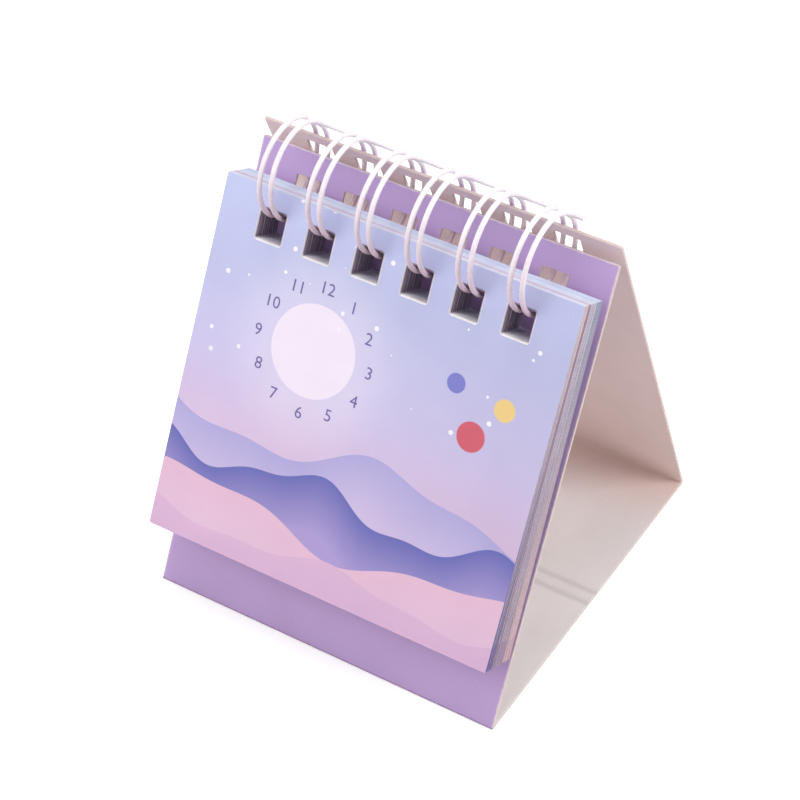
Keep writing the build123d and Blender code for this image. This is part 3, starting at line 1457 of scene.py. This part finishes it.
@dataclass
class SheetStack:
    """Cover and month sheets, hung on the wire by their punched holes."""

    punch: Punch
    easel: Easel
    month_count: int = 16
    width: float = 60.6
    height: float = 57.278
    thickness: float = 0.26
    swell: float = 0.085
    pitch: float = 0.365
    standoff: float = 2.3
    foot_gap: float = 0.35
    corner: float = 0.2
    soften: float = 0.03
    smooth_deg: float = 10.0
    cover_lip: float = 0.28
    hang_along: float = 65.876
    sway: float = 0.05
    sway_turn: Point = (0.6, 2.4)
    bands: tuple[int, ...] = (13, 11, 5, 0)
    top_band: float = 0.02
    side_band: float = 1.0
    floor_band: float = 0.1
    # Painted shade in the holes: floors white on the front sheets and greyer further back, walls grey.
    floor_reach: int = 7
    hole_floors: Shades = ((255, 255, 255), (204, 206, 224))
    hole_wall: Rgb = (166, 156, 172)
    washes: tuple[Rgb, ...] = (
        (208, 222, 240),
        (206, 214, 244),
        (214, 206, 240),
        (226, 212, 240),
        (228, 202, 232),
        (240, 206, 224),
    )
    moon: Point = (-9.5, 36.0)
    moon_radius: float = 7.2
    dial_gap: float = 2.6
    dial_size: float = 2.7
    first_month: int = 9
    month_spot: Point = (-21.5, 42.5)
    month_size: float = 7.0
    day_spot: Point = (-22.2, 34.5)
    day_step: Point = (7.4, 5.2)
    day_size: float = 3.3

    def frame(self, place: int) -> LeafFrame:
        """Set the plane of a sheet's front, from the upper edges of its holes.

        Args:
            place: the sheet's place in the stack, 0 at the rear.

        Returns:
            The plane.
        """
        panel = self.easel.front_frame()
        out = self.standoff + place * self.pitch + self.thickness
        lean_in = math.asin((self.standoff - self.foot_gap) / self.height)
        lean = math.radians(self.easel.front_lean_deg) + lean_in * (place / self.month_count - 1)
        start, turn = self.sway_turn
        side = self.sway * math.sin(turn * place + start)
        up = Vector((0.0, math.sin(lean), math.cos(lean)))
        return LeafFrame(panel.at(side, self.hang_along, -out), panel.across, up)

    def tint(self, place: int) -> EdgeTint:
        """Edge colour of a sheet, in the bands that the stack shows from its side."""
        tints = (EdgeTint.CREAM, EdgeTint.BLUSH, EdgeTint.CHALK, EdgeTint.MIST)
        return next(tint for tint, first in zip(tints, self.bands) if place >= first)

    def edge_tint(self, place: int, point: Point) -> Tone:
        """Colour of a sheet's cut edges, with painted light on the top edge and painted shade in its holes:
        grey walls, and floors greyer towards the rear of the stack.

        Args:
            place: the sheet's place in the stack.
            point: print coordinates.

        Returns:
            The colour there.
        """
        top, upper, lower = self.tint(place).value
        side, rise = point
        # Painted light: the top edge takes the band's lighter colour.
        if rise > self.height - self.top_band:
            return top
        if abs(side) < self.width / 2 - self.side_band and rise > self.height / 2:
            floor = self.height - self.punch.margin - self.punch.height
            aside = min(abs(side - middle) for middle in self.punch.places)
            if rise < floor + self.floor_band or aside > self.punch.width / 2 + self.cover_lip / 2:
                # Painted shade: hole floors greyer on sheets further back in the stack.
                near, far = (srgb(*shade) for shade in self.hole_floors)
                return between(near, far, min((self.month_count - place) / self.floor_reach, 1.0))
            # Painted shade on the hole walls.
            return srgb(*self.hole_wall)
        return between(lower, upper, min(max(rise / self.height, 0.0), 1.0))

    def wash(self, number: int, point: Point) -> Tone:
        """Give the colour of a month's page, going round from blue through lavender to pink."""
        return srgb(*self.washes[number % len(self.washes)])

    def build(self, finishes: Finishes, numerals: Numerals) -> None:
        """Build and dress all sheets.

        Args:
            finishes: the calendar's finishes.
            numerals: the printer of numbers.
        """
        cover = CoverPrint(height=self.height, moon=self.moon, moon_radius=self.moon_radius)
        cover_print = cover.material(finishes.effects)
        month_print = MonthPrint(height=self.height).material(finishes.effects)
        first_day = 0
        for place in range(self.month_count, -1, -1):
            frame = self.frame(place)
            stock = self._leaf(frame, place)
            tints: dict[str, ToneAt] = {"tint": partial(self.edge_tint, place)}
            if place == self.month_count:
                name, node = "cover_leaf", "cover_sheet"
                body, slot, front = "cover", "cover_paper", cover_print
                self._print_dial(stock, frame, numerals)
            else:
                number = self.month_count - place
                name, node = f"month_leaf_{number:02d}", f"month_sheet_{number:02d}"
                body, slot, front = f"month_{number:02d}", "sheet_paper", month_print
                tints["wash"] = partial(self.wash, number)
                month = (self.first_month - 2 + number) % MONTHS + 1
                first_day = self._print_days(stock, frame, numerals, month, first_day)
            slots = [front, finishes.paper, finishes.edge, finishes.ink]
            piece = stock.build(name, slots, tints, self.smooth_deg)
            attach(piece, body)
            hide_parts(node)
            LOG.info("%s on %s", name, body)

    def _leaf(self, frame: LeafFrame, place: int) -> MeshStock:
        """Cut and punch one sheet, swollen to fill the gap to the next sheet of its band.

        Args:
            frame: the sheet's plane.
            place: the sheet's place in the stack.

        Returns:
            The sheet's mesh.
        """
        thickness = self.thickness + (0.0 if place in self.bands else self.swell)
        lip = self.cover_lip if place == self.month_count else self.soften
        top = self.punch.margin
        half = self.width / 2
        outline = Opening(-half, top - self.height, half, top, self.corner)
        origin = (0.0, top - self.height)
        return Leaf(frame, outline, self.punch.row(top), thickness, self.soften, lip, origin).stock()

    def _spot(self, x: float, rise: float) -> Point:
        """Turn print coordinates into the leaf's own millimetres."""
        return (x, rise + self.punch.margin - self.height)

    def _print_dial(self, stock: MeshStock, frame: LeafFrame, numerals: Numerals) -> None:
        """Print the twelve months round the moon.

        Args:
            stock: the cover's mesh.
            frame: the cover's plane.
            numerals: the printer of numbers.
        """
        radius = self.moon_radius + self.dial_gap
        for number in range(1, MONTHS + 1):
            angle = math.pi / 2 - math.tau * number / MONTHS
            x = self.moon[0] + radius * math.cos(angle)
            rise = self.moon[1] + radius * math.sin(angle)
            numerals.print_on(stock, frame, str(number), self._spot(x, rise), self.dial_size)

    def _print_days(
        self, stock: MeshStock, frame: LeafFrame, numerals: Numerals, month: int, first_day: int
    ) -> int:
        """Print a month's number and its days.

        Args:
            stock: the sheet's mesh.
            frame: the sheet's plane.
            numerals: the printer of numbers.
            month: the month, 1 to 12.
            first_day: weekday of its first day, 0 to 6.

        Returns:
            Weekday of the next month's first day.
        """
        days = 28 if month == 2 else 30 if month in (4, 6, 9, 11) else 31
        numerals.print_on(stock, frame, str(month), self._spot(*self.month_spot), self.month_size)
        left, top = self.day_spot
        across, down = self.day_step
        for day in range(1, days + 1):
            row, column = divmod(first_day + day - 1, WEEK)
            spot = self._spot(left + across * column, top - down * row)
            numerals.print_on(stock, frame, str(day), spot, self.day_size)
        return (first_day + days) % WEEK


@dataclass(frozen=True)
class Lamp:
    """Soft round light that faces the calendar; its places are in metres."""

    name: str
    spot: Triple
    size: float
    power: float
    colour: Triple
    aim: Triple = (0.0, 0.0, 0.035)

    def hang(self) -> None:
        """Hang the light in the scene."""
        lamp = bpy.data.lights.new(self.name, "AREA")
        lamp.shape = "DISK"
        lamp.size = self.size
        lamp.energy = self.power
        lamp.color = self.colour
        light = show(self.name, lamp)
        light.location = self.spot
        light.rotation_euler = (Vector(self.aim) - Vector(self.spot)).to_track_quat("-Z", "Y").to_euler()


@dataclass
class Studio:
    """Camera, floor and soft light."""

    azimuth_deg: float = 33.498
    elevation_deg: float = 42.935
    roll_deg: float = -2.0
    distance: float = 399.56
    aim: Triple = (0.0, -6.522, 33.877)
    lens: float = 118.744
    sensor: float = 36.0
    near: float = 0.01
    floor_size: float = 1.6
    floor_white: float = 0.93
    floor_roughness: float = 0.9
    floor_specular: float = 0.1
    floor_glow: float = 0.36
    ambient: float = 0.42
    lamps: tuple[Lamp, ...] = (
        Lamp("key_light", (-0.26, -0.34, 0.42), 0.36, 1.15, (1.0, 0.99, 0.985)),
        Lamp("top_light", (-0.1, 0.08, 1.1), 0.5, 4.2, (1.0, 1.0, 1.0)),
        Lamp("side_light", (0.8, 0.2, 0.5), 0.5, 5.0, (1.0, 0.98, 0.98)),
        Lamp("fill_light", (-0.7, -0.5, 0.35), 0.6, 0.8, (1.0, 0.93, 0.95)),
    )

    def build(self) -> None:
        """Place the camera, the floor and the lights."""
        self._camera()
        self._floor()
        self._world()
        for lamp in self.lamps:
            lamp.hang()

    def _camera(self) -> None:
        """Place the camera at the photograph's viewing angle."""
        azimuth, elevation, roll = map(math.radians, (self.azimuth_deg, self.elevation_deg, self.roll_deg))
        flat = math.cos(elevation)
        back = Vector((math.sin(azimuth) * flat, -math.cos(azimuth) * flat, math.sin(elevation)))
        right = (-back).cross(Vector((0.0, 0.0, 1.0))).normalized()
        up = right.cross(-back)
        across = right * math.cos(roll) + up * math.sin(roll)
        upright = up * math.cos(roll) - right * math.sin(roll)
        lens = bpy.data.cameras.new("camera")
        lens.lens = self.lens
        lens.sensor_width = self.sensor
        lens.sensor_fit = "HORIZONTAL"
        lens.clip_start = self.near
        camera = show("camera", lens)
        spot = (Vector(self.aim) + back * self.distance) * MM
        camera.matrix_world = Matrix.Translation(spot) @ Matrix((across, upright, back)).transposed().to_4x4()
        bpy.context.scene.camera = camera

    def _floor(self) -> None:
        """Lay a pale floor that keeps the calendar's shadow."""
        half = self.floor_size / 2
        corners = [(-half, -half, 0), (half, -half, 0), (half, half, 0), (-half, half, 0)]
        mesh = bpy.data.meshes.new("floor")
        mesh.from_pydata(corners, [], [(0, 1, 2, 3)])
        bench = MaterialBench("floor_white")
        shader = bench.shader
        shader.inputs["Base Color"].default_value = (*(self.floor_white,) * 3, 1.0)
        shader.inputs["Roughness"].default_value = self.floor_roughness
        shader.inputs["Specular IOR Level"].default_value = self.floor_specular
        glow = bench.add("Emission")
        glow.inputs["Strength"].default_value = self.floor_glow
        both = bench.add("AddShader")
        bench.put(both.inputs[0], shader.outputs[0])
        bench.put(both.inputs[1], glow.outputs[0])
        choice = bench.add("MixShader")
        bench.put(choice.inputs[0], bench.add("LightPath").outputs["Is Camera Ray"])
        bench.put(choice.inputs[1], shader.outputs[0])
        bench.put(choice.inputs[2], both.outputs[0])
        bench.put(bench.surface, choice.outputs[0])
        mesh.materials.append(bench.material)
        show("floor", mesh)

    def _world(self) -> None:
        """Surround the scene with soft white, pure white where it is seen."""
        world = bpy.data.worlds.new("studio")
        world.use_nodes = True
        world.node_tree.nodes.clear()
        bench = Bench(world.node_tree)
        rays = bench.add("LightPath").outputs
        seen = bench.math("MAXIMUM", rays["Is Camera Ray"], rays["Is Glossy Ray"])
        seen = bench.math("MAXIMUM", seen, rays["Is Transmission Ray"])
        background = bench.add("Background")
        background.inputs["Color"].default_value = (1.0, 1.0, 1.0, 1.0)
        bench.put(background.inputs["Strength"], bench.ease(seen, 0.0, 1.0, self.ambient, 1.0))
        bench.put(bench.add("OutputWorld").inputs["Surface"], background.outputs[0])
        bpy.context.scene.world = world


def main() -> None:
    """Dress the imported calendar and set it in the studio."""
    logging.basicConfig(level=logging.INFO, format="%(message)s")
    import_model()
    finishes = Finishes(Effects())
    binding = Binding()
    easel = Easel(Punch(binding.places, height=4.15, margin=3.9), Punch(binding.places, margin=1.9))
    easel.build(finishes)
    binding.build(finishes)
    SheetStack(Punch(binding.places), easel).build(finishes, Numerals())
    Studio().build()
    bpy.context.scene.view_settings.view_transform = "Standard"


if __name__ == "__main__":
    main()
